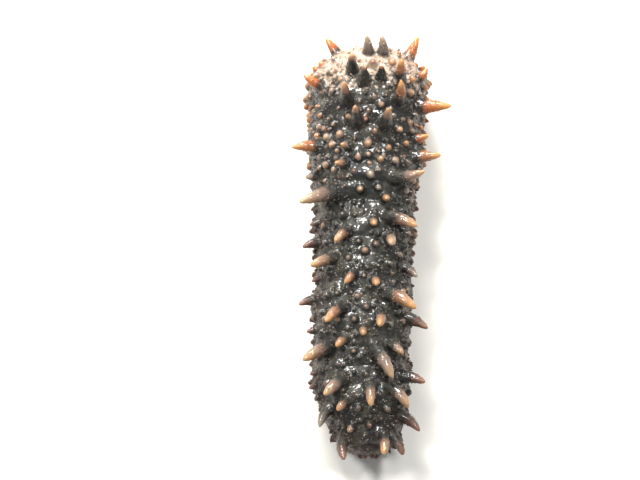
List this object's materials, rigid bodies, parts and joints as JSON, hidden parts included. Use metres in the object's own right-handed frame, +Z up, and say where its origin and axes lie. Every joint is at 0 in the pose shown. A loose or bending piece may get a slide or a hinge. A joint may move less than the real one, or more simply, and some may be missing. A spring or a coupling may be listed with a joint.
{
  "type": "sea cucumber",
  "caption": "Spiny sea cucumber, boiled and drawn up short, a blunt tapering tube under curved cones and warts, resting on tube feet with its back up.",
  "frame": {"origin": "on the plane the tube feet stand on, under the middle of the bounding box", "axes": "+Y from the anal end to the mouth end, +Z up out of the back, +X to the animal's right"},
  "size_m": [0.0434, 0.1168, 0.0344],
  "materials": {
    "skin": "wet, warty, near black with tan to orange tips",
    "sole_skin": "wet, finely wrinkled",
    "lip_skin": "wet, puckered"
  },
  "bodies": {
    "root": {"oral_end": "skin", "trunk_front": "skin", "trunk_middle": "skin", "trunk_rear": "skin", "anal_end": "skin", "sole": "sole_skin", "mouth": "lip_skin", "anus": "lip_skin"}
  },
  "joints": []
}
